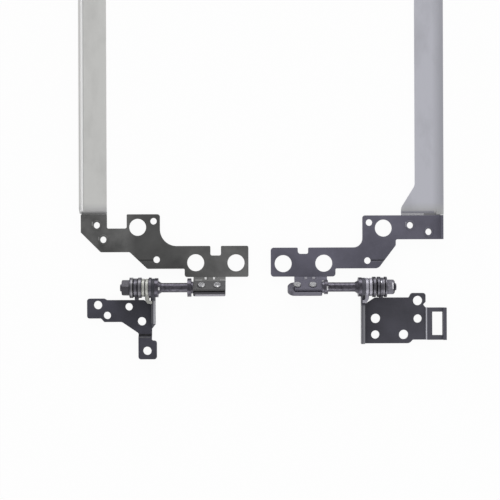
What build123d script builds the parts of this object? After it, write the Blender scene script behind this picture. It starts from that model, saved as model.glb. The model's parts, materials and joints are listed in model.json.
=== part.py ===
from build123d import *
from math import cos, radians, sin, tan
import os

# Pair of display hinges for a slim portable computer, lying open flat, as they leave the box.
#
# Each hinge has a bracket and a long rail on the display side, and a bracket on the base side.
# The display bracket ends in a tab, bent up to the height of the hinge axis and riveted to the
# flat end of the shaft. The shaft turns in the upright ear of the base bracket, where a nut
# squeezes friction plates and spring washers against the ear, so the display stays where it is put.
#
# Lengths are in millimetres. While it is modelled, x is out from the middle of the pair, y is
# from the shaft axis towards the top of the display, and z is up from the table. Both hinges are
# modelled with x growing outwards, and the left one is then mirrored.

# Stamped sheets
BRACKET_T = 1.0          # display bracket
BASE_T = 1.2             # base bracket
RAIL_T = 0.6             # rail
BEND_R = 0.6             # inside radius of every bend in the brackets
STEP_R = 0.75            # middle radius where a base plate steps up
CORNER_R = 0.9           # rounded corner of a blank
SMALL_R = 0.4            # small outside corner of a blank
NOTCH_R = 0.6            # inside corner of a blank
CREASE_W = 0.4           # coined line across the end of the arm
CREASE_DEPTH = 0.12
CREASE_Y = 9.1
OVERCUT = 1.0            # how far a cut reaches past what it cuts

# Screw and boss holes
BOSS_HOLE_D = 5.95       # large holes that drop over the lid's bosses
LID_SCREW_D = 2.3        # small holes in the display brackets
BASE_SCREW_D = 2.95      # holes in the base brackets
NARROW_SCREW_D = 2.6     # narrower ones in the left base bracket
WIDE_SCREW_D = 3.3       # wider ones in the right base bracket
SWAGE_D = 2.9            # collar that holds a rail to its bracket
SWAGE_PLAY = 0.05        # radial play of the rail round that collar
SWAGE_RIM_D = 3.6        # low rim raised round the collar's hole
SWAGE_RIM_H = 0.2

# Shaft
SHAFT_D = 3.3
STEM_D = 3.0             # stem through the ear and the washers
STEM_FLATS = 2.4         # across its two flats
STEM_CHAMFER = 0.3
THREAD_END = 0.6         # stem showing past the nut
FLANGE_D = 6.7
FLANGE_T = 1.15
CONE_D = 4.8             # cone that runs from the flange down to the shaft
CONE_L = 1.2
COLLAR_T = 1.3
NECK_D = 4.15            # between the collar and the flat end
NECK_L = 0.65
PADDLE_T = 1.8           # flat end that takes the rivets
PADDLE_W = 5.1
PADDLE_CORNER_R = 0.5    # beside the collar
EAR_PLAY = 0.05          # radial play of the stem in the ear
KEY_PLAY = 0.03          # play of the stem in what it carries round

# Knuckle: the bracket's tab on the flat end of the shaft
TAB_ANGLE = 51.0         # above the table
TAB_REACH = 2.05         # of the tab past the shaft axis
LOBE_Y = 3.6             # lower edge of the sheet beside the tab
RIVET_D = 1.7
RIVET_PITCH = 5.4
RIVET_HEAD_D = 2.75
RIVET_HEAD_T = 0.45
RIVET_HEAD_CHAMFER = 0.2
RIVET_TAIL_D = 2.4
RIVET_TAIL_T = 0.35
GUSSET_D = 1.8           # pressed domes that stiffen the bend
GUSSET_TOP_D = 1.1
GUSSET_TOP_CHAMFER = 0.2
GUSSET_PITCH = 2.85
GUSSET_S = 3.45          # from the shaft axis down the tab to a dome
GUSSET_SINK = 0.35       # of a dome into the sheet
GUSSET_RISE = 0.35       # of a dome out of the sheet

# Friction stack, from the ear outwards
WASHER_D = 7.1           # spring washers and keyed washer
KEYED_T = 0.85
SPRING_T = 1.1           # sheet of a spring washer
SPRING_DISH = 0.25
TAB_WASHER_D = 6.5
TAB_WASHER_T = 1.35
TAB_W = 1.5              # height of the tab that butts against the base plate
TAB_LIFT = 0.1           # from the table to that tab
FRICTION_D = 6.3
FRICTION_T = 1.3
FRICTION_CHAMFER = 0.25
EAR_ARM_H = 2.5          # arm that the hooked plate sends to the wall
ARM_ROOT = 0.5           # from the stem to the root of that arm
ARM_TAPER = (0.85, 1.4)  # slanted outer corner at the arm's end
HOOK_T = 0.9             # hook over the wall's top edge
HOOK_L = 0.95
HOOK_CORNER_R = 0.6      # inside corner between arm and hook
NUT_AF = 5.0
NUT_T = 2.75
TABLE_GAP = 0.65         # between the table and the widest washer

# Upright wall of the base bracket
WALL_H = 5.0
WALL_EAR_D = 6.4
WALL_FRONT_Y = -3.4      # foot of the wall nearest to the shaft
WALL_TANGENTS = (125.0, 215.0)  # degrees round the ear where the wall's edges leave it
WALL_TOP_R = 0.5
WALL_END_R = 0.8
HOOK_Y = -4.5            # where the level top of the wall begins

# Left hinge, distances out from the middle of the pair
LEFT_WALL_X = 37.45
LEFT_PADDLE_X = 13.0
LEFT_PADDLE_L = 11.2
LEFT_PADDLE_END_R = 0.5
LEFT_COLLAR_D = 6.4
LEFT_RIVETS_X = 18.6
LEFT_GUSSETS_X = 18.45
LEFT_HOOK_SETBACK = 0.9  # from the wall's inner face to the end of the hook
LEFT_NUT_TURN = 10.0     # degrees
LEFT_NUT_CHAMFER = 0.4

# Left display bracket
LD_INNER_X = 5.0
LD_OUTER_X = 63.55
LD_TOP_Y = 25.6
LD_ARM_TOP_Y = 14.45
LD_ARM_BOTTOM_Y = 6.5
LD_LOBE_X = 27.3         # outer end of the lobes beside the knuckle
LD_NOTCH_X = (14.6, 18.3)
LD_NOTCH_Y = 11.1
LD_RISER_X = 35.95       # edge that climbs from the arm to the boss lobe
LD_RISER_R = 5.9
LD_BOSS_LOBE_X = 47.5
LD_RAIL_LOBE_X = 54.5
LD_SADDLE_Y = 20.65      # bottom of the gap between those two lobes
LD_SHOULDER_Y = 12.35
LD_SHOULDER_X = 46.5
LD_DIAGONAL_X = 40.3
LD_OUTER_CHAMFER = 6.95
LD_BOSS_HOLES = ((9.35, 8.5), (23.45, 8.6), (43.7, 21.05))
LD_SCREW_HOLES = ((37.1, 9.7), (38.15, 23.15))
LD_RAIL_HOLES = ((55.75, 16.75), (58.0, 21.8))
LD_CREASE_X = (37.3, 44.0)

# Left rail
LR_OUTER_X = 63.85
LR_WIDTH = 9.3
LR_FLANGE_H = 3.2
LR_JOGGLE_L = 1.3
LR_JOGGLE_R = 4.0        # where the joggle runs out into the rail
LR_CHAMFER = 6.05        # of the foot's outer corner
LR_FOOT_X = 53.4         # inner edge of the hidden foot
LR_FOOT_SETBACK = 0.15   # of its outer edge from the bracket's
LR_FOOT_Y = 14.4
LR_SHOULDER_Y = 19.9
LR_EDGE_STEP_R = 1.0     # rounded ends of the step in the upright edge

# Left base bracket
LB_EDGE_GAP = 0.85       # from the washers to the plate's front edge
LB_CHAMFER = (3.05, 1.5)
LB_LOBE_X = (55.0, 61.5)
LB_LOBE_Y = (-10.8, -3.85)
LB_BOTTOM_Y = -12.05
LB_BOTTOM_X = (49.35, 55.5)
LB_LOBE_LEAN = (1.1, 0.5)  # run of the lobe's two slanted sides
LB_ELBOW_R = 2.0
LB_ARM_X = (38.85, 43.5)
LB_ARM_TOP_Y = -16.0
LB_EAR_X = 37.1
LB_EAR_Y = (-25.05, -18.55)
LB_WALL_END_Y = -12.8
LB_WALL_SLOPE_Y = -14.5
LB_STEP = 1.0            # the arm's end steps up by this much
LB_STEP_Y = (-17.55, -16.55)
LB_HOLES = ((57.7, -6.1), (42.35, -11.85), (40.4, -22.1))
LB_NARROW_HOLES = ((54.45, -9.75), (46.85, -6.75))

# Right hinge, distances out from the middle of the pair
RIGHT_WALL_X = 34.15
RIGHT_PADDLE_X = 8.55
RIGHT_PADDLE_L = 12.0
RIGHT_PADDLE_END_R = 2.4
RIGHT_COLLAR_D = 4.95
RIGHT_RIVETS_X = 14.6
RIGHT_GUSSETS_X = 16.4
RIGHT_HOOK_SETBACK = 0.3
RIGHT_NUT_TURN = 0.0
RIGHT_NUT_CHAMFER = 0.75

# Right display bracket
RD_INNER_X = 2.8
RD_OUTER_X = 62.95
RD_TOP_Y = 24.9
RD_ARM_TOP_Y = 13.75
RD_ARM_BOTTOM_Y = 6.4
RD_LOBE_X = 25.4
RD_NOTCH_X = (12.25, 15.9)
RD_NOTCH_Y = 11.55
RD_RISER_X = 34.9
RD_RISER_R = 3.2
RD_RAIL_ARM_Y = 16.5     # lower edge of the arm that carries the rail
RD_WAIST_X = 46.5
RD_WAIST_Y = 14.4
RD_DIAGONAL_X = 40.4
RD_TAB_X = 11.0
RD_NECK_X = 22.4
RD_END_R = 1.1           # inner end and lobe
RD_NOTCH_R = 1.0
RD_HIP_R = 2.2           # where the arm turns up to the waist
RD_BOSS_HOLES = ((7.15, 8.15), (21.35, 8.25), (42.2, 20.45))
RD_SCREW_HOLES = ((36.6, 9.1), (37.2, 22.4))
RD_RAIL_HOLES = ((51.55, 21.4), (58.0, 19.1))
RD_CREASE_X = (37.8, 43.0)
RD_FLANGE_H = 1.4        # turned-up outer edge, over the sheet

# Right rail
RR_INNER_X = 53.3
RR_OUTER_X = 63.3
RR_ROLL_R = 5.0          # outer edge rolled down to the table
RR_ROLL_W = 1.25
RR_JOGGLE_L = 1.5
RR_JOGGLE_R = 4.0
RR_FLARE_X = 48.5
RR_FLARE_Y = (27.6, 35.3)
RR_FLARE_R = 3.0
RR_FOOT_Y = 16.9

# Right base bracket
RB_EDGE_GAP = 0.3
RB_CHAMFER = (3.85, 2.1)
RB_BOTTOM_Y = -19.85
RB_STEP_X = 51.2         # where the bottom edge steps
RB_STEP_W = 1.2
RB_STEP_R = 1.6
RB_RIGHT_BOTTOM_Y = -18.6
RB_OUTER_X = 56.9
RB_OUTER_TOP_Y = -7.35
RB_EAR_X = 51.9
RB_EAR_TOP_Y = -2.3
RB_EAR_LEAN = 0.8
RB_BITE_X = 56.0         # small bite between the ear and the loop
RB_BITE_Y = -6.3
RB_BITE_H = 0.9
RB_HOLES = ((39.3, -16.8), (54.15, -11.25))
RB_WIDE_HOLES = ((39.4, -11.15), (49.2, -16.8), (54.15, -4.95))
RB_LOOP_OUTER_X = 63.95
RB_WINDOW_X = (59.05, 62.7)
RB_WINDOW_Y = (-17.0, -8.8)
RB_LOOP_STEP = 1.0
RB_LOOP_SLOPE_W = 0.85   # the loop's step up, seen from above
RB_LOOP_FLANGE_H = 1.0   # turned-up outer edge of the loop, over the sheet

RAIL_TOP_Y = 220.0       # both rails end here, near the top of the display
RAIL_END_R = 3.0
RAIL_STEP_GAP = 0.2      # from a display bracket's top edge to the rail's step

# Heights and places that follow from the sizes above
AXIS_Z = WASHER_D / 2 + TABLE_GAP
BRACKET_Z = RAIL_T
TAB_DIR = Vector(0, cos(radians(TAB_ANGLE)), -sin(radians(TAB_ANGLE)))
TAB_NORMAL = Vector(0, sin(radians(TAB_ANGLE)), cos(radians(TAB_ANGLE)))
BEND_S = (AXIS_Z - BRACKET_Z - BRACKET_T / 2 + TAB_NORMAL.Z * BRACKET_T / 2) / -TAB_DIR.Z
BEND_Y = TAB_NORMAL.Y * BRACKET_T / 2 + TAB_DIR.Y * BEND_S
MID_BEND_R = BEND_R + BRACKET_T / 2
BEND_START_Y = BEND_Y + MID_BEND_R * tan(radians(TAB_ANGLE / 2))
GUSSET_DIR = Vector(0, sin(radians(TAB_ANGLE / 2)), cos(radians(TAB_ANGLE / 2)))


def prism(corners, z, height):
    """Upright prism on a closed outline of (x, y, corner radius) corners."""
    points = [(x, y) for x, y, _ in corners]
    radii = [radius for _, _, radius in corners]
    outline = FilletPolyline(*points, radius=radii, close=True)
    return Pos(0, 0, z) * extrude(make_face(outline), amount=height, dir=(0, 0, 1))


def block(x, y, z):
    """Box from (low, high) pairs."""
    size = [high - low for low, high in (x, y, z)]
    middle = [(low + high) / 2 for low, high in (x, y, z)]
    return Pos(*middle) * Box(*size)


def sheet_across(path, thickness, radius, x):
    """Sheet that follows a (y, z) path, extruded between two x."""
    strip = trace(FilletPolyline(*path, radius=radius), thickness)
    return extrude(Plane.YZ.offset(x[0]) * strip, amount=x[1] - x[0], dir=(1, 0, 0))


def sheet_along(path, thickness, radius, y):
    """Sheet that follows an (x, z) path, extruded between two y."""
    strip = trace(FilletPolyline(*path, radius=radius), thickness)
    return extrude(Plane.XZ.offset(-y[0]) * strip, amount=y[1] - y[0], dir=(0, 1, 0))


def upright_holes(places, diameter, z):
    """Drills through a flat sheet between two heights."""
    depth = z[1] - z[0]
    return [Pos(x, y, (z[0] + z[1]) / 2) * Cylinder(diameter / 2, depth) for x, y in places]


def axial(x):
    """Plane square to the shaft at x: its own x is y, its own y is height above the axis."""
    return Plane(origin=(x, 0, AXIS_Z), x_dir=(0, 1, 0), z_dir=(1, 0, 0))


def knuckle_plane(x):
    """Plane of the shaft's flat end at x: its own y runs down the tab to the bend."""
    return Plane(origin=(x, 0, AXIS_Z), x_dir=(1, 0, 0), z_dir=TAB_NORMAL)


def stem_section(play):
    """Stem with two flats, grown all round by a play."""
    return Circle(STEM_D / 2 + play) & Rectangle(STEM_FLATS + 2 * play, STEM_D + 4 * play)


# Display side

def gusset(x):
    """Dome pressed up into the inside of the tab's bend."""
    foot = Vector(x, 0, AXIS_Z) + TAB_NORMAL * BRACKET_T + TAB_DIR * GUSSET_S
    plane = Plane(origin=foot - GUSSET_DIR * GUSSET_SINK, x_dir=(1, 0, 0), z_dir=GUSSET_DIR)
    height = GUSSET_SINK + GUSSET_RISE
    dome = Pos(0, 0, height / 2) * Cone(GUSSET_D / 2, GUSSET_TOP_D / 2, height)
    dome = chamfer(dome.edges().sort_by(Axis.Z)[-1], GUSSET_TOP_CHAMFER)
    return plane * dome


def bent_tab(tab_x, neck_x, gussets_x):
    """Tab from the flat bracket up over the shaft's flat end, with two gussets in its bend."""
    mid_z = BRACKET_Z + BRACKET_T / 2
    tip = Vector(0, 0, AXIS_Z) + TAB_NORMAL * BRACKET_T / 2 - TAB_DIR * TAB_REACH
    path = [(BEND_START_Y + BRACKET_T, mid_z), (BEND_Y, mid_z), (tip.Y, tip.Z)]
    tab = sheet_across(path, BRACKET_T, MID_BEND_R, (tab_x[0], neck_x))
    if neck_x > tab_x[1]:
        past_tip = (-AXIS_Z, BEND_Y - BRACKET_T)
        tab -= block((tab_x[1], neck_x + OVERCUT), past_tip, (0, 3 * AXIS_Z))
    for side in (-1, 1):
        tab += gusset(gussets_x + side * GUSSET_PITCH / 2)
    return tab


def swaged_collar(x, y):
    """Collar drawn down through the rail, and the low rim round it on top."""
    collar = Pos(x, y, BRACKET_Z / 2) * Cylinder(SWAGE_D / 2, BRACKET_Z)
    rim_r = SWAGE_RIM_D / 2
    rim = Cone(rim_r, rim_r - SWAGE_RIM_H, SWAGE_RIM_H)
    return collar + Pos(x, y, BRACKET_Z + BRACKET_T + SWAGE_RIM_H / 2) * rim


def display_bracket(outline, tab_x, neck_x, gussets_x, rivets_x, holes, crease_x):
    """Flat bracket with its holes, a coined crease, the rail's collars and the riveted tab."""
    boss_holes, screw_holes, rail_places = holes
    bracket = prism(outline, BRACKET_Z, BRACKET_T)
    bracket -= block((tab_x[0], neck_x), (BEND_Y - BRACKET_T, BEND_START_Y), (0, AXIS_Z))
    bracket += bent_tab(tab_x, neck_x, gussets_x)
    for x, y in rail_places:
        bracket += swaged_collar(x, y)
    through = (-OVERCUT, BRACKET_Z + 2 * BRACKET_T)
    bracket -= upright_holes(boss_holes, BOSS_HOLE_D, through)
    bracket -= upright_holes(screw_holes + rail_places, LID_SCREW_D, through)
    top_z = BRACKET_Z + BRACKET_T
    crease_y = (CREASE_Y - CREASE_W / 2, CREASE_Y + CREASE_W / 2)
    bracket -= block(crease_x, crease_y, (top_z - CREASE_DEPTH, top_z + CREASE_DEPTH))
    for x in rivet_places(rivets_x):
        hole = Circle(RIVET_D / 2 + KEY_PLAY)
        bracket -= extrude(knuckle_plane(x) * hole, amount=2 * BRACKET_T)
    return bracket


def left_display_bracket():
    """Left bracket: two lobes beside the knuckle, an arm, a boss lobe and a rail lobe."""
    outline = [
        (LD_INNER_X, LOBE_Y, NOTCH_R),
        (LD_INNER_X, LD_ARM_TOP_Y, NOTCH_R),
        (LD_NOTCH_X[0], LD_ARM_TOP_Y, SMALL_R),
        (LD_NOTCH_X[0], LD_NOTCH_Y, NOTCH_R),
        (LD_NOTCH_X[1], LD_NOTCH_Y, NOTCH_R),
        (LD_NOTCH_X[1], LD_ARM_TOP_Y, SMALL_R),
        (LD_RISER_X, LD_ARM_TOP_Y, LD_RISER_R),
        (LD_RISER_X, LD_TOP_Y, CORNER_R),
        (LD_BOSS_LOBE_X, LD_TOP_Y, SMALL_R),
        (LD_BOSS_LOBE_X, LD_SADDLE_Y, NOTCH_R),
        (LD_RAIL_LOBE_X, LD_SADDLE_Y, NOTCH_R),
        (LD_RAIL_LOBE_X, LD_TOP_Y, SMALL_R),
        (LD_OUTER_X, LD_TOP_Y, SMALL_R),
        (LD_OUTER_X, LD_SHOULDER_Y + LD_OUTER_CHAMFER, NOTCH_R),
        (LD_OUTER_X - LD_OUTER_CHAMFER, LD_SHOULDER_Y, CORNER_R),
        (LD_SHOULDER_X, LD_SHOULDER_Y, CORNER_R),
        (LD_DIAGONAL_X, LD_ARM_BOTTOM_Y, CORNER_R),
        (LD_LOBE_X, LD_ARM_BOTTOM_Y, SMALL_R),
        (LD_LOBE_X, LOBE_Y, CORNER_R),
    ]
    tab_x = (LEFT_PADDLE_X, LEFT_PADDLE_X + LEFT_PADDLE_L)
    holes = (LD_BOSS_HOLES, LD_SCREW_HOLES, LD_RAIL_HOLES)
    return display_bracket(outline, tab_x, tab_x[1], LEFT_GUSSETS_X, LEFT_RIVETS_X,
                           holes, LD_CREASE_X)


def right_display_bracket():
    """Right bracket: two lobes beside the knuckle, an arm, and a boss and rail arm with an edge."""
    outline = [
        (RD_INNER_X, LOBE_Y, RD_END_R),
        (RD_INNER_X, RD_ARM_TOP_Y, RD_END_R),
        (RD_NOTCH_X[0], RD_ARM_TOP_Y, SMALL_R),
        (RD_NOTCH_X[0], RD_NOTCH_Y, RD_NOTCH_R),
        (RD_NOTCH_X[1], RD_NOTCH_Y, NOTCH_R),
        (RD_NOTCH_X[1], RD_ARM_TOP_Y, SMALL_R),
        (RD_RISER_X, RD_ARM_TOP_Y, RD_RISER_R),
        (RD_RISER_X, RD_TOP_Y, CORNER_R),
        (RD_OUTER_X - BRACKET_T - BEND_R, RD_TOP_Y, 0),
        (RD_OUTER_X - BRACKET_T - BEND_R, RD_RAIL_ARM_Y, 0),
        (RD_WAIST_X, RD_RAIL_ARM_Y, NOTCH_R),
        (RD_WAIST_X, RD_WAIST_Y, CORNER_R),
        (RD_DIAGONAL_X, RD_ARM_BOTTOM_Y, RD_HIP_R),
        (RD_LOBE_X, RD_ARM_BOTTOM_Y, SMALL_R),
        (RD_LOBE_X, LOBE_Y, RD_END_R),
    ]
    tab_x = (RD_TAB_X, RIGHT_PADDLE_X + RIGHT_PADDLE_L)
    holes = (RD_BOSS_HOLES, RD_SCREW_HOLES, RD_RAIL_HOLES)
    bracket = display_bracket(outline, tab_x, RD_NECK_X, RIGHT_GUSSETS_X, RIGHT_RIVETS_X,
                              holes, RD_CREASE_X)
    mid_x = RD_OUTER_X - BRACKET_T / 2
    mid_z = BRACKET_Z + BRACKET_T / 2
    path = [(mid_x - 2 * MID_BEND_R, mid_z), (mid_x, mid_z),
            (mid_x, BRACKET_Z + BRACKET_T + RD_FLANGE_H)]
    return bracket + sheet_along(path, BRACKET_T, MID_BEND_R, (RD_RAIL_ARM_Y, RD_TOP_Y))


def rail_strip(joggle_y, joggle_l, joggle_r, foot_y, x):
    """Flat rail that steps down from its own level to the foot under the bracket."""
    low_z = RAIL_T / 2
    high_z = BRACKET_Z + RAIL_T / 2
    path = [(foot_y, low_z), (joggle_y, low_z), (joggle_y + joggle_l, high_z), (RAIL_TOP_Y, high_z)]
    return sheet_across(path, RAIL_T, [RAIL_T, joggle_r], x)


def rail_holes(places):
    """Holes in the foot, round the bracket's collars."""
    return upright_holes(places, SWAGE_D + 2 * SWAGE_PLAY, (-RAIL_T, 2 * RAIL_T))


def left_rail():
    """Left rail with its upright outer edge, and a foot that widens under the bracket."""
    inner_x = LR_OUTER_X - LR_WIDTH
    foot_x = LD_OUTER_X - LR_FOOT_SETBACK
    joggle_y = LD_TOP_Y + RAIL_STEP_GAP
    outline = [
        (foot_x, LR_FOOT_Y + LR_CHAMFER, 0),
        (foot_x, joggle_y, 0),
        (LR_OUTER_X, joggle_y, 0),
        (LR_OUTER_X, RAIL_TOP_Y, RAIL_END_R),
        (inner_x, RAIL_TOP_Y, RAIL_END_R),
        (inner_x, LR_SHOULDER_Y, 0),
        (LR_FOOT_X, LR_SHOULDER_Y, SMALL_R),
        (LR_FOOT_X, LR_FOOT_Y, SMALL_R),
        (foot_x - LR_CHAMFER, LR_FOOT_Y, SMALL_R),
    ]
    strip = rail_strip(joggle_y, LR_JOGGLE_L, LR_JOGGLE_R, LR_FOOT_Y, (LR_FOOT_X, LR_OUTER_X))
    rail = strip & prism(outline, -RAIL_T, 4 * RAIL_T)
    edge = [
        (joggle_y, BRACKET_Z + BRACKET_T, SMALL_R),
        (joggle_y + LR_JOGGLE_L, BRACKET_Z + LR_FLANGE_H, LR_EDGE_STEP_R),
        (RAIL_TOP_Y - RAIL_END_R, BRACKET_Z + LR_FLANGE_H, LR_EDGE_STEP_R),
        (RAIL_TOP_Y - RAIL_END_R, BRACKET_Z, 0),
        (joggle_y + LR_JOGGLE_L, BRACKET_Z, 0),
        (joggle_y, 0, 0),
    ]
    points = [(y, z) for y, z, _ in edge]
    profile = make_face(FilletPolyline(*points, radius=[r for _, _, r in edge], close=True))
    face = Plane.YZ.offset(LR_OUTER_X - RAIL_T) * profile
    rail += extrude(face, amount=RAIL_T, dir=(1, 0, 0))
    return rail - rail_holes(LD_RAIL_HOLES)


def right_rail():
    """Right rail with its outer edge rolled down, flaring towards the bracket."""
    outline = [
        (RR_OUTER_X + RR_ROLL_W, RR_FOOT_Y, 0),
        (RR_OUTER_X + RR_ROLL_W, RAIL_TOP_Y, RAIL_END_R),
        (RR_INNER_X, RAIL_TOP_Y, RAIL_END_R),
        (RR_INNER_X, RR_FLARE_Y[1], RR_FLARE_R),
        (RR_FLARE_X, RR_FLARE_Y[0], RR_FLARE_R),
        (RR_FLARE_X, RR_FOOT_Y, CORNER_R),
    ]
    joggle_y = RD_TOP_Y + RAIL_STEP_GAP
    flat_x = RR_OUTER_X - 2 * RR_ROLL_W
    strip = rail_strip(joggle_y, RR_JOGGLE_L, RR_JOGGLE_R, RR_FOOT_Y, (RR_FLARE_X, flat_x))
    high_z = BRACKET_Z + RAIL_T / 2
    roll_path = [(flat_x, high_z), (RR_OUTER_X - RR_ROLL_W, high_z), (RR_OUTER_X, RAIL_T / 2)]
    roll = sheet_along(roll_path, RAIL_T, RR_ROLL_R, (joggle_y, RAIL_TOP_Y))
    foot = block((flat_x, RR_OUTER_X - BRACKET_T), (RR_FOOT_Y, joggle_y + RAIL_T), (0, RAIL_T))
    rail = (strip + roll) & prism(outline, -RAIL_T, 4 * RAIL_T)
    return rail + foot - rail_holes(RD_RAIL_HOLES)


# Shaft and knuckle

def rivet_places(middle):
    """Distances of the two rivets out from the middle of the pair."""
    return [middle + side * RIVET_PITCH / 2 for side in (-1, 1)]


def shaft(wall_x, paddle_x, paddle_l, end_r, collar_d, rivets_x, stack_l):
    """Turned shaft: flat end, collar, body, flange and a stem with two flats."""
    neck_x = paddle_x + paddle_l
    flange_x = wall_x - FLANGE_T
    stem_l = BASE_T + stack_l + NUT_T + THREAD_END
    body = extrude(axial(neck_x) * Circle(SHAFT_D / 2), amount=flange_x - neck_x)
    body += extrude(axial(neck_x) * Circle(NECK_D / 2), amount=NECK_L)
    body += extrude(axial(neck_x + NECK_L) * Circle(collar_d / 2), amount=COLLAR_T)
    cone = Pos(flange_x - CONE_L / 2, 0, AXIS_Z) * Rot(0, 90, 0)
    body += cone * Cone(SHAFT_D / 2, CONE_D / 2, CONE_L)
    body += extrude(axial(flange_x) * Circle(FLANGE_D / 2), amount=FLANGE_T)
    stem = extrude(axial(wall_x) * Circle(STEM_D / 2), amount=stem_l)
    tip = stem.edges().sort_by(Axis.X)[-1]
    stem = chamfer(tip, STEM_CHAMFER)
    flats = extrude(axial(wall_x + BASE_T) * Rectangle(STEM_FLATS, 2 * STEM_D), amount=stem_l)
    round_part = extrude(axial(wall_x) * Circle(STEM_D), amount=BASE_T)
    body += stem & (flats + round_part)
    half_w = PADDLE_W / 2
    paddle = [
        (paddle_x, -half_w, end_r),
        (paddle_x, half_w, end_r),
        (neck_x, half_w, PADDLE_CORNER_R),
        (neck_x, -half_w, PADDLE_CORNER_R),
    ]
    body += knuckle_plane(0) * prism(paddle, -PADDLE_T, PADDLE_T)
    for x in rivet_places(rivets_x):
        hole = extrude(knuckle_plane(x) * Circle(RIVET_D / 2 + KEY_PLAY), amount=-2 * PADDLE_T)
        body -= hole
    return body


def rivets(middle):
    """Two rivets through the tab and the flat end, each head domed."""
    pieces = []
    head_r = RIVET_HEAD_D / 2
    for x in rivet_places(middle):
        plane = knuckle_plane(x)
        shank = extrude(plane * Circle(RIVET_D / 2), amount=BRACKET_T)
        shank += extrude(plane * Circle(RIVET_D / 2), amount=-PADDLE_T)
        head = extrude(plane.offset(BRACKET_T) * Circle(head_r), amount=RIVET_HEAD_T)
        head = chamfer(head.edges().sort_by(Axis.Z)[-1], RIVET_HEAD_CHAMFER)
        tail = extrude(plane.offset(-PADDLE_T) * Circle(RIVET_TAIL_D / 2), amount=-RIVET_TAIL_T)
        pieces.append(shank + head + tail)
    return Compound([piece.solids()[0] for piece in pieces])


# Friction stack

def washer(x, diameter, thickness, hole):
    """Flat round washer whose inner face is at x."""
    return extrude(axial(x) * (Circle(diameter / 2) - hole), amount=thickness)


def spring_washer(x, opens_out):
    """Dished spring washer: a thin cone, flat on its two rims."""
    hole_r = STEM_D / 2 + KEY_PLAY
    rim_r = WASHER_D / 2
    low, high = (SPRING_DISH, 0) if opens_out else (0, SPRING_DISH)
    section = Polyline((low, hole_r), (low + SPRING_T, hole_r), (high + SPRING_T, rim_r),
                       (high, rim_r), close=True)
    ring = revolve(Plane.XY * make_face(section), Axis.X)
    return Pos(x, 0, AXIS_Z) * ring


def keyed_washer(x):
    """Flat washer that turns with the stem."""
    return washer(x, WASHER_D, KEYED_T, stem_section(KEY_PLAY))


def friction_disc(x, hole):
    """Round friction plate with chamfered rims."""
    plate = washer(x, FRICTION_D, FRICTION_T, hole)
    rims = plate.edges().filter_by(GeomType.CIRCLE).group_by(SortBy.RADIUS)[-1]
    return chamfer(rims, FRICTION_CHAMFER)


def friction_plate(x):
    """Friction plate that turns with the stem."""
    return friction_disc(x, stem_section(KEY_PLAY))


def hooked_friction_plate(x, hook_x):
    """Round plate with an arm that hooks over the wall's top edge, so it can't turn."""
    plate = friction_disc(x, Circle(STEM_D / 2 + EAR_PLAY))
    outer_x = x + FRICTION_T
    root_y = -STEM_D / 2 - ARM_ROOT
    end_y = HOOK_Y - HOOK_L
    outer_side = [
        (x, root_y, 0),
        (outer_x, root_y, 0),
        (outer_x, end_y + ARM_TAPER[1], 0),
        (outer_x - ARM_TAPER[0], end_y, 0),
    ]
    hooked = outer_side + [(hook_x, end_y, 0), (hook_x, HOOK_Y, 0), (x, HOOK_Y, HOOK_CORNER_R)]
    plain = outer_side + [(x, end_y, 0)]
    arm = prism(plain, WALL_H + HOOK_T - EAR_ARM_H, EAR_ARM_H)
    return plate + arm + prism(hooked, WALL_H, HOOK_T)


def tab_washer(x, edge_y):
    """Washer with a tab that butts against the base plate's front edge."""
    plain = washer(x, TAB_WASHER_D, TAB_WASHER_T, Circle(STEM_D / 2 + EAR_PLAY))
    tab = block((x, x + TAB_WASHER_T), (edge_y, 0), (TAB_LIFT, TAB_LIFT + TAB_W))
    bore = extrude(axial(x) * Circle(STEM_D / 2 + EAR_PLAY), amount=TAB_WASHER_T)
    return plain + tab - bore


def nut(x, turn, corner):
    """Hexagon nut with its outer end chamfered."""
    corner_r = NUT_AF / 2 / cos(radians(30))
    hexagon = RegularPolygon(corner_r, 6, rotation=90 - turn)
    bar = extrude(axial(x) * (hexagon - stem_section(KEY_PLAY)), amount=NUT_T)
    turned = extrude(axial(x) * Circle(corner_r), amount=NUT_T)
    turned = chamfer(turned.edges().sort_by(Axis.X)[-1], corner)
    return bar & turned


THICKNESS = {
    "keyed_washer": KEYED_T,
    "hooked_friction_plate": FRICTION_T,
    "friction_plate": FRICTION_T,
    "inner_spring_washer": SPRING_T + SPRING_DISH,
    "outer_spring_washer": SPRING_T + SPRING_DISH,
    "tab_washer": TAB_WASHER_T,
}
LEFT_ORDER = ("keyed_washer", "hooked_friction_plate", "friction_plate",
              "inner_spring_washer", "tab_washer", "outer_spring_washer")
RIGHT_ORDER = ("hooked_friction_plate", "friction_plate", "inner_spring_washer",
               "outer_spring_washer", "tab_washer", "keyed_washer")
STACK_L = sum(THICKNESS.values())


def friction_stack(order, wall_x, edge_y, hook_setback, nut_turn, nut_chamfer):
    """Everything between the ear and the stem's end, by name, from the ear outwards."""
    x = wall_x + BASE_T
    pieces = {}
    for name in order:
        if name == "keyed_washer":
            piece = keyed_washer(x)
        elif name == "hooked_friction_plate":
            piece = hooked_friction_plate(x, wall_x + hook_setback)
        elif name == "friction_plate":
            piece = friction_plate(x)
        elif name == "tab_washer":
            piece = tab_washer(x, edge_y)
        else:
            piece = spring_washer(x, name == "inner_spring_washer")
        pieces[name] = piece
        x += THICKNESS[name]
    pieces["nut"] = nut(x, nut_turn, nut_chamfer)
    return pieces


# Base side

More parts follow.
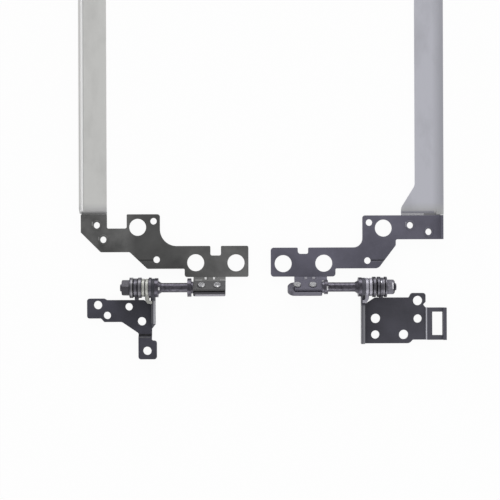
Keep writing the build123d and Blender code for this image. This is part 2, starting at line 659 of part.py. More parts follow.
def base_wall(wall_x, end_y, slope_y):
    """Upright wall with the shaft's ear, and its bend into the base plate."""
    mid_x = wall_x + BASE_T / 2
    bend_x = wall_x + BASE_T + BEND_R
    ear_top = AXIS_Z + WALL_EAR_D / 2
    path = [(bend_x + BASE_T, BASE_T / 2), (mid_x, BASE_T / 2), (mid_x, 2 * ear_top)]
    bent = sheet_along(path, BASE_T, BEND_R + BASE_T / 2, (slope_y, WALL_EAR_D))
    ear_r = WALL_EAR_D / 2
    top_angle, front_angle = (radians(angle) for angle in WALL_TANGENTS)
    if slope_y < end_y:
        foot = [(slope_y, 0, 0), (slope_y, BASE_T, 0)]
    else:
        foot = [(end_y, 0, 0)]
    profile = foot + [
        (end_y, WALL_H, WALL_END_R),
        (HOOK_Y, WALL_H, WALL_TOP_R),
        (ear_r * cos(top_angle), AXIS_Z + ear_r * sin(top_angle), 0),
        (0, AXIS_Z, 0),
        (ear_r * cos(front_angle), AXIS_Z + ear_r * sin(front_angle), 0),
        (WALL_FRONT_Y, 0, 0),
    ]
    points = [(y, z) for y, z, _ in profile]
    sketch = make_face(FilletPolyline(*points, radius=[r for _, _, r in profile], close=True))
    blank = extrude(Plane.YZ.offset(wall_x) * sketch, amount=bend_x - wall_x, dir=(1, 0, 0))
    ear = extrude(axial(wall_x) * Circle(ear_r), amount=BASE_T)
    bore = extrude(axial(wall_x) * Circle(STEM_D / 2 + EAR_PLAY), amount=BASE_T)
    return (bent & blank) + ear - bore


def left_base_bracket():
    """Left base bracket: plate with an outer lobe, a sloping arm with a raised end, and the wall."""
    bend_x = LEFT_WALL_X + BASE_T + BEND_R
    chamfer_x = LEFT_WALL_X + BASE_T + LB_CHAMFER[0]
    top_y = -WASHER_D / 2 - LB_EDGE_GAP
    outline = [
        (bend_x, top_y - LB_CHAMFER[1], 0),
        (bend_x, LB_WALL_SLOPE_Y, 0),
        (LB_ARM_X[0], LB_WALL_SLOPE_Y, 0),
        (LB_ARM_X[0], LB_EAR_Y[1], NOTCH_R),
        (LB_EAR_X, LB_EAR_Y[1], CORNER_R),
        (LB_EAR_X, LB_EAR_Y[0], CORNER_R),
        (LB_ARM_X[1], LB_EAR_Y[0], CORNER_R),
        (LB_ARM_X[1], LB_ARM_TOP_Y, CORNER_R),
        (LB_BOTTOM_X[0], LB_BOTTOM_Y, LB_ELBOW_R),
        (LB_BOTTOM_X[1], LB_BOTTOM_Y, SMALL_R),
        (LB_BOTTOM_X[1] + LB_LOBE_LEAN[0], LB_LOBE_Y[0], SMALL_R),
        (LB_LOBE_X[1], LB_LOBE_Y[0], CORNER_R),
        (LB_LOBE_X[1], LB_LOBE_Y[1], CORNER_R),
        (LB_LOBE_X[0] + LB_LOBE_LEAN[1], LB_LOBE_Y[1], SMALL_R),
        (LB_LOBE_X[0] - LB_LOBE_LEAN[1], top_y, SMALL_R),
        (chamfer_x, top_y, SMALL_R),
    ]
    plate = prism(outline, 0, BASE_T)
    arm_x = (LB_EAR_X, LB_ARM_X[1])
    arm_end_y = LB_EAR_Y[0] - OVERCUT
    plate -= block(arm_x, (arm_end_y, LB_ARM_TOP_Y), (-OVERCUT, 2 * BASE_T))
    mid_z = BASE_T / 2
    path = [(LB_ARM_TOP_Y, mid_z), (LB_STEP_Y[1], mid_z), (LB_STEP_Y[0], mid_z + LB_STEP),
            (arm_end_y, mid_z + LB_STEP)]
    arm = sheet_across(path, BASE_T, STEP_R, arm_x)
    plate += arm & prism(outline, -BASE_T, 4 * BASE_T)
    through = (-OVERCUT, 2 * BASE_T + LB_STEP)
    plate -= upright_holes(LB_HOLES, BASE_SCREW_D, through)
    plate -= upright_holes(LB_NARROW_HOLES, NARROW_SCREW_D, through)
    inside_x = LEFT_WALL_X - OVERCUT
    relief = [
        (inside_x, LB_WALL_END_Y, 0),
        (LEFT_WALL_X, LB_WALL_END_Y, 0),
        (LB_ARM_X[0], LB_WALL_SLOPE_Y, 0),
        (inside_x, LB_WALL_SLOPE_Y, 0),
    ]
    wall = base_wall(LEFT_WALL_X, LB_WALL_END_Y, LB_WALL_SLOPE_Y)
    return plate + (wall - prism(relief, -OVERCUT, 2 * WALL_H))


def right_base_bracket():
    """Right base bracket: wide plate with an ear, a stepped loop with a window, and the wall."""
    bend_x = RIGHT_WALL_X + BASE_T + BEND_R
    chamfer_x = RIGHT_WALL_X + BASE_T + RB_CHAMFER[0]
    top_y = -WASHER_D / 2 - RB_EDGE_GAP
    outline = [
        (bend_x, top_y - RB_CHAMFER[1], 0),
        (bend_x, RB_BOTTOM_Y, 0),
        (RB_STEP_X, RB_BOTTOM_Y, RB_STEP_R),
        (RB_STEP_X + RB_STEP_W, RB_RIGHT_BOTTOM_Y, SMALL_R),
        (RB_OUTER_X, RB_RIGHT_BOTTOM_Y, 0),
        (RB_OUTER_X, RB_OUTER_TOP_Y, SMALL_R),
        (RB_BITE_X, RB_BITE_Y, SMALL_R),
        (RB_OUTER_X, RB_BITE_Y + RB_BITE_H, SMALL_R),
        (RB_OUTER_X, RB_EAR_TOP_Y, CORNER_R),
        (RB_EAR_X, RB_EAR_TOP_Y, CORNER_R),
        (RB_EAR_X - RB_EAR_LEAN, top_y, SMALL_R),
        (chamfer_x, top_y, SMALL_R),
    ]
    plate = prism(outline, 0, BASE_T)
    low_z = BASE_T / 2
    high_z = low_z + RB_LOOP_STEP
    outer_mid_x = RB_LOOP_OUTER_X - BASE_T / 2
    loop_path = [(RB_OUTER_X - BASE_T, low_z), (RB_OUTER_X, low_z),
                 (RB_OUTER_X + RB_LOOP_SLOPE_W, high_z), (outer_mid_x, high_z),
                 (outer_mid_x, high_z + BASE_T / 2 + RB_LOOP_FLANGE_H)]
    loop = sheet_along(loop_path, BASE_T, STEP_R, (RB_RIGHT_BOTTOM_Y, RB_OUTER_TOP_Y))
    loop -= block(RB_WINDOW_X, RB_WINDOW_Y, (-OVERCUT, 3 * BASE_T + RB_LOOP_STEP))
    plate += loop
    through = (-OVERCUT, 2 * BASE_T)
    plate -= upright_holes(RB_HOLES, BASE_SCREW_D, through)
    plate -= upright_holes(RB_WIDE_HOLES, WIDE_SCREW_D, through)
    return plate + base_wall(RIGHT_WALL_X, RB_BOTTOM_Y, RB_BOTTOM_Y)


def left_hinge():
    """Left hinge's pieces by name, with x growing outwards."""
    pieces = friction_stack(LEFT_ORDER, LEFT_WALL_X, -WASHER_D / 2 - LB_EDGE_GAP,
                            LEFT_HOOK_SETBACK, LEFT_NUT_TURN, LEFT_NUT_CHAMFER)
    pieces["rail"] = left_rail()
    pieces["display_bracket"] = left_display_bracket()
    pieces["shaft"] = shaft(LEFT_WALL_X, LEFT_PADDLE_X, LEFT_PADDLE_L, LEFT_PADDLE_END_R,
                            LEFT_COLLAR_D, LEFT_RIVETS_X, STACK_L)
    pieces["rivets"] = rivets(LEFT_RIVETS_X)
    pieces["base_bracket"] = left_base_bracket()
    return pieces


def right_hinge():
    """Right hinge's pieces by name."""
    pieces = friction_stack(RIGHT_ORDER, RIGHT_WALL_X, -WASHER_D / 2 - RB_EDGE_GAP,
                            RIGHT_HOOK_SETBACK, RIGHT_NUT_TURN, RIGHT_NUT_CHAMFER)
    pieces["rail"] = right_rail()
    pieces["display_bracket"] = right_display_bracket()
    pieces["shaft"] = shaft(RIGHT_WALL_X, RIGHT_PADDLE_X, RIGHT_PADDLE_L, RIGHT_PADDLE_END_R,
                            RIGHT_COLLAR_D, RIGHT_RIVETS_X, STACK_L)
    pieces["rivets"] = rivets(RIGHT_RIVETS_X)
    pieces["base_bracket"] = right_base_bracket()
    return pieces


def main():
    """Both hinges, moved so that the origin is on the table under the middle of the pair's box."""
    pair = {"right_" + name: piece for name, piece in right_hinge().items()}
    for name, piece in left_hinge().items():
        pair["left_" + name] = mirror(piece, about=Plane.YZ)
    box = Compound(children=list(pair.values())).bounding_box()
    middle = box.center()
    to_origin = Pos(-middle.X, -middle.Y, -box.min.Z)
    os.makedirs("parts", exist_ok=True)
    for name, piece in pair.items():
        placed = [to_origin * solid for solid in piece.solids()]
        export_step(Compound(placed), "parts/" + name + ".step")
    print("shaft axis at y", round(-middle.Y, 4), "z", round(AXIS_Z - box.min.Z, 4))
    print("middle of the pair at x", round(-middle.X, 4))


main()
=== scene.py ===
import json
from math import atan, radians

import bmesh
import bpy
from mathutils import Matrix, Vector

# Looks of the pair of display hinges: coated brackets, plated rails, turned shafts and
# friction stacks, lying open flat on a white table and seen from straight above

MM = 0.001

# Camera: straight above and a little turned
VIEW_CENTRE = (-4.49 * MM, -84.51 * MM)
VIEW_LEVEL = 1.6 * MM           # height of the brackets
VIEW_SPAN = 174.7 * MM          # width of the picture at that height
CAMERA_HEIGHT = 400.0 * MM
CAMERA_TURN = -0.22             # degrees about the line of sight

# Floor, sky and lamps
FLOOR_SIZE = 6.0
FLOOR_DROP = 0.02 * MM
FLOOR_WHITE = 0.93
FLOOR_GLOW = 0.95               # share of the floor's white that no shadow reaches
SKY_LEVELS = ((0.0, 0.75), (0.3, 0.6), (0.72, 0.5), (0.94, 0.52))   # from walls to zenith
LAMPS = (                       # name, place, width, height and power
    ("rear_light", (0.1, 1.1, 0.36), 1.8, 0.7, 10.5),
    ("front_light", (0.15, -0.95, 0.45), 1.0, 0.6, 2.9),
)

# Middle of the pair and line of the shafts, in mm
MIDDLE_X = -0.05
SHAFT_Y = -97.475

# Coating: clouds and orange peel in waves for each metre, and the rounding of its thin edges
COAT_CLOUDS = 55.0
COAT_PEEL = 4200.0
COAT_PEEL_DEPTH = 0.03 * MM
COAT_EDGE = 0.12 * MM
END_SHEEN = 1.8                 # how much lighter a bracket's ends get under the painted sheen

# Rails: clouds and streaks in waves for each metre, and two places in mm where painted shade
# darkens them
RAIL_CLOUDS = 90.0
RAIL_STREAKS = 5200.0
RAIL_ROLL = (59.3, 62.6)        # along x, where the right rail's outer edge rolls down and painted shade darkens it
RAIL_ROLL_SHADE = ((0.36, 0.362, 0.4), (0.42, 0.422, 0.465))
RAIL_FOOT = (26.0, 29.5)        # from the shafts' line, where both rails leave their feet and painted shade darkens them
RAIL_FOOT_SHADE = ((0.43, 0.43, 0.435), (0.5, 0.5, 0.505))

# Worked metal: clouds in waves for each metre, and the rounding of its edges
METAL_CLOUDS = 900.0
METAL_EDGE = 0.07 * MM

BUMP_STRENGTH = 0.4
EDGE_TURN = (0.75, 0.99)        # cosines between which a rounded edge fades into a face

# Patches by finish, nearly all painted highlights and painted shade, a few plain tones: colour,
# then x, y and z ranges in mm, x from the middle of the pair and y from the shafts' line, with a
# soft border
PATCH_SOFT = 0.05 * MM
PATCHES = {
    "left_display_coating": (
        # Painted highlights on the two gussets
        ((0.75, 0.75, 0.75), (-20.35, -19.6), (2.7, 3.5), (1.7, 4.0)),
        ((0.75, 0.75, 0.75), (-17.4, -16.65), (2.7, 3.5), (1.7, 4.0)),
        # Painted shade: the tilted tab held to a plain, darker tone against the lamps' light
        ((0.08, 0.079, 0.082), (-24.0, -12.0), (-2.6, 2.2), (1.7, 7.5)),
        # Painted highlights along the tab's bend line
        ((0.28, 0.28, 0.28), (-23.6, -21.2), (2.4, 2.75), (1.0, 4.5)),
        ((0.28, 0.28, 0.28), (-14.9, -12.8), (2.4, 2.75), (1.0, 4.5)),
        # Painted shade and, below it, a painted highlight along a short line across the bracket
        ((0.03, 0.03, 0.03), (-43.5, -38.4), (9.4, 9.75), (1.0, 3.0)),
        ((0.12, 0.12, 0.12), (-43.5, -38.4), (8.95, 9.2), (1.0, 3.0)),
        # Painted highlights on one side of the rims of two countersunk holes
        ((0.36, 0.36, 0.36), (-59.65, -59.35), (21.7, 23.0), (1.0, 3.0)),
        ((0.26, 0.26, 0.26), (-57.4, -57.1), (16.6, 17.8), (1.0, 3.0)),
    ),
    "right_display_coating": (
        # Painted highlight along the bend of the bracket's turned-down end
        ((0.24, 0.24, 0.27), (62.0, 62.25), (16.7, 26.2), (0.0, 2.0)),
        # Painted highlights on the two gussets
        ((0.32, 0.315, 0.35), (14.5, 15.5), (2.7, 3.5), (1.7, 4.0)),
        ((0.32, 0.315, 0.35), (17.2, 18.3), (2.7, 3.5), (1.7, 4.0)),
        # Plain tone over the tilted tab, without clouds
        ((0.108, 0.103, 0.138), (10.5, 23.0), (-2.6, 2.6), (1.7, 7.5)),
        # Painted shade and, below it, a painted highlight along a short line across the bracket
        ((0.04, 0.04, 0.05), (37.8, 42.6), (9.1, 9.45), (1.0, 3.0)),
        ((0.17, 0.165, 0.2), (35.0, 41.2), (8.6, 8.8), (1.0, 3.0)),
        # Painted highlight on one side of a hole's rim
        ((0.34, 0.34, 0.38), (49.9, 50.2), (20.8, 22.6), (1.0, 3.0)),
    ),
    "left_base_coating": (
        # Painted highlights along the wall's top and its outer rounded edge
        ((0.12, 0.12, 0.13), (-38.9, -38.3), (-12.4, -4.5), (1.0, 6.0)),
        ((0.42, 0.42, 0.45), (-38.0, -37.3), (-12.6, -4.5), (3.0, 6.0)),
        # Painted highlight and painted shade at the two bends of the ear's joggle
        ((0.11, 0.11, 0.12), (-43.2, -39.3), (-17.6, -17.2), (1.0, 3.0)),
        ((0.012, 0.012, 0.015), (-43.4, -39.0), (-17.0, -16.3), (0.5, 3.0)),
    ),
    "right_base_coating": (
        # Painted highlight along the step up to the loop
        ((0.6, 0.6, 0.66), (56.9, 57.3), (-18.6, -7.0), (0.5, 3.0)),
        # Painted highlights along the wall's top and its inner bend
        ((0.3, 0.3, 0.32), (34.1, 34.35), (-19.6, -6.4), (4.5, 6.0)),
        ((0.22, 0.22, 0.24), (34.65, 35.5), (-19.8, -6.4), (4.5, 6.0)),
        # Plain, bluer tone over the loop
        ((0.085, 0.083, 0.105), (57.35, 64.5), (-20.0, -6.0), (0.5, 4.0)),
        # Painted shadow in the gap between the wall and the hook
        ((0.004, 0.004, 0.006), (34.5, 35.3), (-3.8, -2.8), (1.0, 7.0)),
    ),
    "rail_steel": (
        # Painted highlight along the left rail's flange top and inner face, then painted shade in
        # its inner corner
        ((0.98, 0.98, 0.98), (-63.4, -62.75), (26.5, 330.0), (1.0, 3.6)),
        ((0.52, 0.52, 0.52), (-62.75, -62.45), (26.5, 330.0), (1.0, 1.4)),
        # Painted light on the left rail's joggle, where it lies in shade at the bracket's edge
        ((0.95, 0.95, 0.95), (-64.5, -54.0), (24.0, 25.45), (-0.5, 0.75)),
        # Painted shade at the right rail's joggle, then a painted highlight on its slope
        ((0.36, 0.36, 0.4), (48.0, 60.0), (25.6, 26.45), (0.65, 1.25)),
        ((0.98, 0.98, 0.98), (48.0, 56.5), (24.0, 25.6), (-0.5, 1.1)),
    ),
    "shaft_steel": (
        # Plain tone over the left paddle
        ((0.055, 0.053, 0.06), (-24.0, -12.0), (-2.8, 2.8), (3.0, 7.0)),
        # Painted highlight along the left paddle's lower edge
        ((0.3, 0.293, 0.32), (-23.5, -13.0), (-2.8, -2.4), (2.0, 7.0)),
        # Plain tone over the right paddle
        ((0.125, 0.121, 0.145), (8.0, 21.0), (-2.8, 2.8), (3.0, 7.0)),
        # Painted glints on the collars' cones
        ((0.9, 0.9, 0.9), (-36.2, -35.75), (-0.8, 0.2), (5.0, 7.5)),
        ((0.8, 0.8, 0.82), (22.0, 22.5), (-0.9, 0.4), (5.0, 7.5)),
    ),
    "black_steel": (
        # Plain tone over the left stack's outer end
        ((0.072, 0.07, 0.079), (-50.5, -46.1), (-3.5, 3.5), (0.0, 8.0)),
        # Left stack: painted shade in the seams between washers, painted highlights on two
        # washers' ridges
        ((0.01, 0.01, 0.012), (-46.3, -46.0), (-3.6, 3.6), (0.0, 8.0)),
        ((0.25, 0.245, 0.26), (-45.6, -45.05), (-3.6, 3.6), (0.0, 8.0)),
        ((0.01, 0.01, 0.012), (-44.9, -44.6), (-3.6, 3.6), (0.0, 8.0)),
        ((0.01, 0.01, 0.012), (-43.6, -43.3), (-3.6, 3.6), (0.0, 8.0)),
        ((0.22, 0.215, 0.23), (-42.95, -42.5), (-3.6, 3.6), (0.0, 8.0)),
        # Right stack: painted shade in the seams between washers, a painted glint and a painted
        # highlight on a ridge
        ((0.01, 0.01, 0.012), (37.9, 38.15), (-3.6, 3.6), (0.0, 8.0)),
        ((0.01, 0.01, 0.012), (40.3, 40.55), (-3.6, 3.6), (0.0, 8.0)),
        ((0.7, 0.7, 0.74), (40.65, 40.95), (1.5, 2.1), (4.0, 8.0)),
        ((0.26, 0.255, 0.28), (41.65, 41.95), (-3.6, 3.6), (0.0, 8.0)),
        ((0.01, 0.01, 0.012), (42.0, 42.3), (-3.6, 3.6), (0.0, 8.0)),
    ),
    "friction_bronze": (
        # Painted shade in the seam between the two pale plates
        ((0.05, 0.05, 0.055), (-40.95, -40.65), (-3.6, 3.6), (0.0, 8.0)),
    ),
    "friction_steel": (
        # Painted shade in the seam between the two pale plates
        ((0.04, 0.04, 0.05), (36.5, 36.75), (-3.6, 3.6), (0.0, 8.0)),
    ),
    "rivet_steel": (
        # Painted glints on the rivet heads' lower edges
        ((0.95, 0.95, 0.95), (-20.95, -20.5), (0.15, 0.6), (4.0, 8.0)),
        ((0.95, 0.95, 0.95), (-15.95, -15.4), (0.15, 0.6), (4.0, 8.0)),
    ),
    "nut_steel": (
        # Painted highlight on the nut's chamfer edge, then painted shade beside it
        ((0.6, 0.6, 0.63), (44.7, 44.95), (-0.7, 1.5), (5.0, 8.0)),
        ((0.02, 0.02, 0.025), (45.1, 45.8), (-1.3, 1.4), (5.0, 8.0)),
    ),
}

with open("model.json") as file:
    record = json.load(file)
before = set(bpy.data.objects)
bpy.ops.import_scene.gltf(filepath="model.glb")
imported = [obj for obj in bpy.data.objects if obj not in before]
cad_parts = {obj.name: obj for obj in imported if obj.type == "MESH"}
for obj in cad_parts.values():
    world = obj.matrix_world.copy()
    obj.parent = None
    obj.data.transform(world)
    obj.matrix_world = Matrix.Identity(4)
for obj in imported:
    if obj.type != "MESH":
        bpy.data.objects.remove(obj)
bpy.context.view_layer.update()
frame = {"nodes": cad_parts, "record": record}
nodes = frame["nodes"]


# Node helpers

def new_material(name):
    """Material with one Principled shader, and the tree and shader to dress it with."""
    material = bpy.data.materials.new(name)
    material.use_nodes = True
    tree = material.node_tree
    shader = tree.nodes["Principled BSDF"]
    return material, tree, shader


def object_coordinates(tree, scale=(1.0, 1.0, 1.0)):
    """The piece's own coordinates, stretched."""
    source = tree.nodes.new("ShaderNodeTexCoord")
    mapping = tree.nodes.new("ShaderNodeMapping")
    mapping.inputs["Scale"].default_value = scale
    tree.links.new(source.outputs["Object"], mapping.inputs["Vector"])
    return mapping.outputs["Vector"]


def noise(tree, vector, scale, detail=2.0, roughness=0.5):
    """Noise value between 0 and 1 on a vector."""
    node = tree.nodes.new("ShaderNodeTexNoise")
    node.inputs["Scale"].default_value = scale
    node.inputs["Detail"].default_value = detail
    node.inputs["Roughness"].default_value = roughness
    tree.links.new(vector, node.inputs["Vector"])
    return node.outputs["Fac"]


def remap(tree, value, low, high, from_low=0.3, from_high=0.7):
    """A value moved from one range to another, and held inside it."""
    node = tree.nodes.new("ShaderNodeMapRange")
    node.inputs["From Min"].default_value = from_low
    node.inputs["From Max"].default_value = from_high
    node.inputs["To Min"].default_value = low
    node.inputs["To Max"].default_value = high
    tree.links.new(value, node.inputs["Value"])
    return node.outputs["Result"]


def tinted(tree, value, dark, light):
    """Colour between two fixed colours by a value."""
    node = tree.nodes.new("ShaderNodeMix")
    node.data_type = "RGBA"
    node.inputs["A"].default_value = (*dark, 1.0)
    node.inputs["B"].default_value = (*light, 1.0)
    tree.links.new(value, node.inputs["Factor"])
    return node.outputs["Result"]


def over(tree, mask, below, colour):
    """A fixed colour laid over another node's where a mask says so."""
    node = tree.nodes.new("ShaderNodeMix")
    node.data_type = "RGBA"
    node.inputs["B"].default_value = (*colour, 1.0)
    tree.links.new(mask, node.inputs["Factor"])
    tree.links.new(below, node.inputs["A"])
    return node.outputs["Result"]


def patched(tree, below, slot):
    """A colour with its finish's patches laid over it: painted highlights, painted shade and a
    few plain tones.
    """
    source = tree.nodes.new("ShaderNodeTexCoord")
    for colour, *ranges in PATCHES.get(slot, ()):
        shift = (MIDDLE_X, SHAFT_Y, 0.0)
        centre = [((low + high) / 2 + move) * MM for (low, high), move in zip(ranges, shift)]
        half = [(high - low) / 2 * MM for low, high in ranges]
        from_centre = vector_step(tree, "SUBTRACT", source.outputs["Object"], centre)
        away = vector_step(tree, "ABSOLUTE", from_centre)
        past = vector_step(tree, "SUBTRACT", away, half)
        split = tree.nodes.new("ShaderNodeSeparateXYZ")
        tree.links.new(past, split.inputs["Vector"])
        across = larger(tree, split.outputs["X"], split.outputs["Y"])
        most = larger(tree, across, split.outputs["Z"])
        mask = remap(tree, most, 1.0, 0.0, -PATCH_SOFT, PATCH_SOFT)
        below = over(tree, mask, below, colour)
    return below


def vector_step(tree, operation, vector, by=None):
    """One step of vector maths, with a fixed vector if one is given."""
    node = tree.nodes.new("ShaderNodeVectorMath")
    node.operation = operation
    tree.links.new(vector, node.inputs[0])
    if by is not None:
        node.inputs[1].default_value = by
    return node.outputs["Vector"]


def larger(tree, first, second):
    """The larger of two values."""
    node = tree.nodes.new("ShaderNodeMath")
    node.operation = "MAXIMUM"
    tree.links.new(first, node.inputs[0])
    tree.links.new(second, node.inputs[1])
    return node.outputs["Value"]


def along(tree, axis, start, end):
    """0 to 1 from one place to another along X or Y, in mm."""
    source = tree.nodes.new("ShaderNodeTexCoord")
    split = tree.nodes.new("ShaderNodeSeparateXYZ")
    tree.links.new(source.outputs["Object"], split.inputs["Vector"])
    return remap(tree, split.outputs[axis], 0.0, 1.0, start * MM, end * MM)


def blend(tree, factor, first, second):
    """Colour between two other nodes' colours."""
    node = tree.nodes.new("ShaderNodeMix")
    node.data_type = "RGBA"
    tree.links.new(factor, node.inputs["Factor"])
    tree.links.new(first, node.inputs["A"])
    tree.links.new(second, node.inputs["B"])
    return node.outputs["Result"]


def edge_mask(tree, radius, strength):
    """Mask along sharp edges, and the normal rounded over them."""
    bevel = tree.nodes.new("ShaderNodeBevel")
    bevel.samples = 6
    bevel.inputs["Radius"].default_value = radius
    geometry = tree.nodes.new("ShaderNodeNewGeometry")
    dot = tree.nodes.new("ShaderNodeVectorMath")
    dot.operation = "DOT_PRODUCT"
    tree.links.new(bevel.outputs["Normal"], dot.inputs[0])
    tree.links.new(geometry.outputs["True Normal"], dot.inputs[1])
    mask = remap(tree, dot.outputs["Value"], strength, 0.0, *EDGE_TURN)
    return mask, bevel.outputs["Normal"]


def bump(tree, height, depth, normal):
    """Soft relief from a height value, over a normal."""
    node = tree.nodes.new("ShaderNodeBump")
    node.inputs["Strength"].default_value = BUMP_STRENGTH
    node.inputs["Distance"].default_value = depth
    tree.links.new(height, node.inputs["Height"])
    tree.links.new(normal, node.inputs["Normal"])
    return node.outputs["Normal"]


# Finishes

def coated_sheet(name, dark, light, edge, sheen_ends=None):
    """Satin coated steel: cloudy tone, fine orange peel, a tone of its own along the edges, and a
    painted sheen that lightens the ends given.
    """
    material, tree, shader = new_material(name)
    plain = object_coordinates(tree)
    cloud = noise(tree, plain, COAT_CLOUDS, 5.0, 0.62)
    colour = tinted(tree, remap(tree, cloud, 0.0, 1.0, 0.36, 0.64), dark, light)
    # Painted sheen: the coat lighter towards the ends given along x
    if sheen_ends is not None:
        bright = [END_SHEEN * share for share in light]
        sheened = tinted(tree, remap(tree, cloud, 0.0, 1.0, 0.3, 0.6), dark, bright)
        ends = [along(tree, "X", *places) for places in sheen_ends]
        colour = blend(tree, larger(tree, *ends), colour, sheened)
    mask, normal = edge_mask(tree, COAT_EDGE, 0.85)
    colour = patched(tree, over(tree, mask, colour, edge), name)
    tree.links.new(colour, shader.inputs["Base Color"])
    peel = noise(tree, plain, COAT_PEEL, 3.0)
    tree.links.new(remap(tree, peel, 0.42, 0.6), shader.inputs["Roughness"])
    tree.links.new(bump(tree, peel, COAT_PEEL_DEPTH, normal), shader.inputs["Normal"])
    shader.inputs["Specular IOR Level"].default_value = 0.4
    return material


def plated_sheet(name, left, right):
    """Zinc-plated rails: faint streaks and soft clouds, a tone for each side of the pair,
    painted shade along the rolled edge and near the feet."""
    material, tree, shader = new_material(name)
    shader.inputs["Metallic"].default_value = 0.35
    shader.inputs["Specular IOR Level"].default_value = 0.3
    cloud = noise(tree, object_coordinates(tree, (1.0, 0.45, 1.0)), RAIL_CLOUDS, 5.0, 0.6)
    streak = noise(tree, object_coordinates(tree, (1.0, 0.012, 1.0)), RAIL_STREAKS, 3.0, 0.6)
    shade = remap(tree, cloud, 0.0, 1.0, 0.28, 0.5)
    sides = [tinted(tree, shade, *tones) for tones in (left, right)]
    colour = blend(tree, along(tree, "X", -1.0, 1.0), *sides)
    # Painted shade along the right rail's rolled outer edge
    rolled = tinted(tree, shade, *RAIL_ROLL_SHADE)
    colour = blend(tree, along(tree, "X", *RAIL_ROLL), colour, rolled)
    # Painted shade where the rails step down towards their feet
    dimmer = tinted(tree, shade, *RAIL_FOOT_SHADE)
    foot = [SHAFT_Y + place for place in RAIL_FOOT]
    colour = blend(tree, along(tree, "Y", *foot), dimmer, colour)
    tree.links.new(patched(tree, colour, name), shader.inputs["Base Color"])
    tree.links.new(remap(tree, streak, 0.52, 0.57), shader.inputs["Roughness"])
    return material


def worked_metal(name, dark, light, roughness, turned=False, metallic=1.0, grain=2600.0,
                 relief=0.02):
    """Bare or oxidised metal with a fine relief in mm, in rings round the shaft if turned."""
    material, tree, shader = new_material(name)
    shader.inputs["Metallic"].default_value = metallic
    scale = (1.0, 0.05, 0.05) if turned else (1.0, 1.0, 1.0)
    marks = noise(tree, object_coordinates(tree, scale), grain, 3.0, 0.6)
    cloud = noise(tree, object_coordinates(tree), METAL_CLOUDS, 3.0, 0.6)
    colour = tinted(tree, remap(tree, cloud, 0.0, 1.0), dark, light)
    mask, normal = edge_mask(tree, METAL_EDGE, 0.7)
    colour = patched(tree, over(tree, mask, colour, light), name)
    tree.links.new(colour, shader.inputs["Base Color"])
    shine = remap(tree, marks, roughness - 0.08, roughness + 0.1)
    tree.links.new(shine, shader.inputs["Roughness"])
    tree.links.new(bump(tree, marks, relief * MM, normal), shader.inputs["Normal"])
    return material


def finishes():
    """Every finish by the name of its slot."""
    return {
        # The left display bracket takes a painted sheen at both ends
        "left_display_coating": coated_sheet(
            "left_display_coating", (0.054, 0.054, 0.054), (0.092, 0.092, 0.091),
            (0.1, 0.1, 0.1), ((-44.5, -48.0), (-34.0, -14.0))),
        "right_display_coating": coated_sheet(
            "right_display_coating", (0.1, 0.097, 0.128), (0.15, 0.145, 0.192),
            (0.15, 0.145, 0.185)),
        "left_base_coating": coated_sheet(
            "left_base_coating", (0.033, 0.033, 0.044), (0.06, 0.059, 0.08),
            (0.08, 0.08, 0.11)),
        "right_base_coating": coated_sheet(
            "right_base_coating", (0.045, 0.044, 0.056), (0.071, 0.069, 0.089),
            (0.09, 0.09, 0.12)),
        "rail_steel": plated_sheet(
            "rail_steel", ((0.62, 0.62, 0.605), (0.7, 0.7, 0.685)),
            ((0.51, 0.512, 0.562), (0.595, 0.598, 0.657))),
        "shaft_steel": worked_metal(
            "shaft_steel", (0.06, 0.057, 0.069), (0.15, 0.142, 0.17), 0.34, turned=True),
        "rivet_steel": worked_metal(
            "rivet_steel", (0.17, 0.17, 0.18), (0.42, 0.42, 0.43), 0.3, grain=1500.0, relief=0.2),
        "black_steel": worked_metal(
            "black_steel", (0.09, 0.088, 0.102), (0.186, 0.18, 0.206), 0.42, relief=0.012),
        "nut_steel": worked_metal(
            "nut_steel", (0.085, 0.083, 0.095), (0.142, 0.138, 0.16), 0.42, relief=0.012),
        "friction_bronze": worked_metal(
            "friction_bronze", (0.4, 0.402, 0.375), (0.56, 0.563, 0.53), 0.5, metallic=0.6),
        "friction_steel": worked_metal(
            "friction_steel", (0.33, 0.323, 0.37), (0.55, 0.535, 0.6), 0.5, metallic=0.6),
    }


def dress_nodes(materials):
    """Gives each piece its finish."""
    for part in frame["record"]["subparts"]:
        piece = nodes[part["node"]]
        for slot in piece.material_slots:
            slot.material = materials[part["material_slot"]]


# Stage

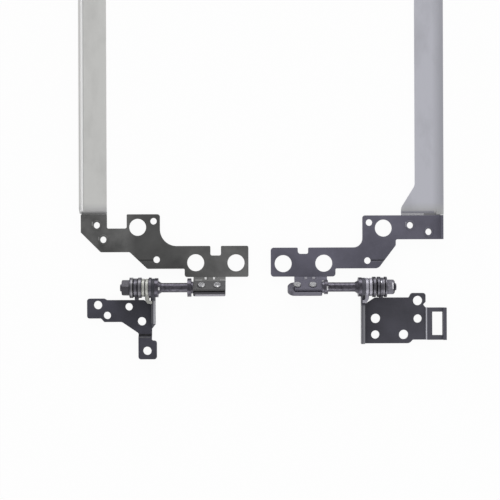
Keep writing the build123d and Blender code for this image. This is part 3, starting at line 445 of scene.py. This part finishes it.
def make_floor():
    """White table: it glows for the camera and in reflections, and keeps a soft shadow."""
    mesh = bpy.data.meshes.new("floor")
    form = bmesh.new()
    bmesh.ops.create_grid(form, x_segments=1, y_segments=1, size=FLOOR_SIZE / 2)
    bmesh.ops.translate(form, verts=form.verts, vec=(0.0, 0.0, -FLOOR_DROP))
    form.to_mesh(mesh)
    form.free()
    floor = bpy.data.objects.new("floor", mesh)
    bpy.context.scene.collection.objects.link(floor)
    material, tree, shader = new_material("table_white")
    tree.nodes.remove(shader)
    diffuse = tree.nodes.new("ShaderNodeBsdfDiffuse")
    diffuse.inputs["Color"].default_value = (FLOOR_WHITE, FLOOR_WHITE, FLOOR_WHITE, 1.0)
    glow = tree.nodes.new("ShaderNodeEmission")
    path = tree.nodes.new("ShaderNodeLightPath")
    mirrored = larger(tree, path.outputs["Is Glossy Ray"], path.outputs["Is Transmission Ray"])
    seen = larger(tree, path.outputs["Is Camera Ray"], mirrored)
    mix = tree.nodes.new("ShaderNodeMixShader")
    tree.links.new(remap(tree, seen, 0.0, FLOOR_GLOW, 0.0, 1.0), mix.inputs["Fac"])
    tree.links.new(diffuse.outputs["BSDF"], mix.inputs[1])
    tree.links.new(glow.outputs["Emission"], mix.inputs[2])
    tree.links.new(mix.outputs["Shader"], tree.nodes["Material Output"].inputs["Surface"])
    mesh.materials.append(material)


def make_sky():
    """Studio with pale walls and a dimmer ceiling."""
    world = bpy.data.worlds.new("studio")
    bpy.context.scene.world = world
    world.use_nodes = True
    tree = world.node_tree
    source = tree.nodes.new("ShaderNodeTexCoord")
    split = tree.nodes.new("ShaderNodeSeparateXYZ")
    tree.links.new(source.outputs["Generated"], split.inputs["Vector"])
    ramp = tree.nodes.new("ShaderNodeValToRGB")
    while len(ramp.color_ramp.elements) < len(SKY_LEVELS):
        ramp.color_ramp.elements.new(0.5)
    for element, (position, level) in zip(ramp.color_ramp.elements, SKY_LEVELS):
        element.position = position
        element.color = (level, level, level, 1.0)
    tree.links.new(split.outputs["Z"], ramp.inputs["Fac"])
    tree.links.new(ramp.outputs["Color"], tree.nodes["Background"].inputs["Color"])


def soft_light(name, place, width, height, power):
    """Large soft lamp that faces the middle of the picture."""
    lamp = bpy.data.lights.new(name, "AREA")
    lamp.shape = "RECTANGLE"
    lamp.size = width
    lamp.size_y = height
    lamp.energy = power
    light = bpy.data.objects.new(name, lamp)
    light.location = place
    target = Vector((*VIEW_CENTRE, 0.0))
    light.rotation_euler = (target - light.location).to_track_quat("-Z", "Y").to_euler()
    bpy.context.scene.collection.objects.link(light)


def make_camera():
    """Camera straight above the middle of the picture."""
    data = bpy.data.cameras.new("camera")
    data.sensor_fit = "HORIZONTAL"
    data.angle = 2.0 * atan(VIEW_SPAN / 2.0 / (CAMERA_HEIGHT - VIEW_LEVEL))
    data.clip_start = 0.01
    camera = bpy.data.objects.new("camera", data)
    camera.location = (*VIEW_CENTRE, CAMERA_HEIGHT)
    camera.rotation_euler = (0.0, 0.0, radians(CAMERA_TURN))
    bpy.context.scene.collection.objects.link(camera)
    bpy.context.scene.camera = camera


def main():
    """Finishes, floor, sky, lamps and camera."""
    dress_nodes(finishes())
    make_floor()
    make_sky()
    for lamp in LAMPS:
        soft_light(*lamp)
    make_camera()
    bpy.context.scene.view_settings.view_transform = "Standard"


main()
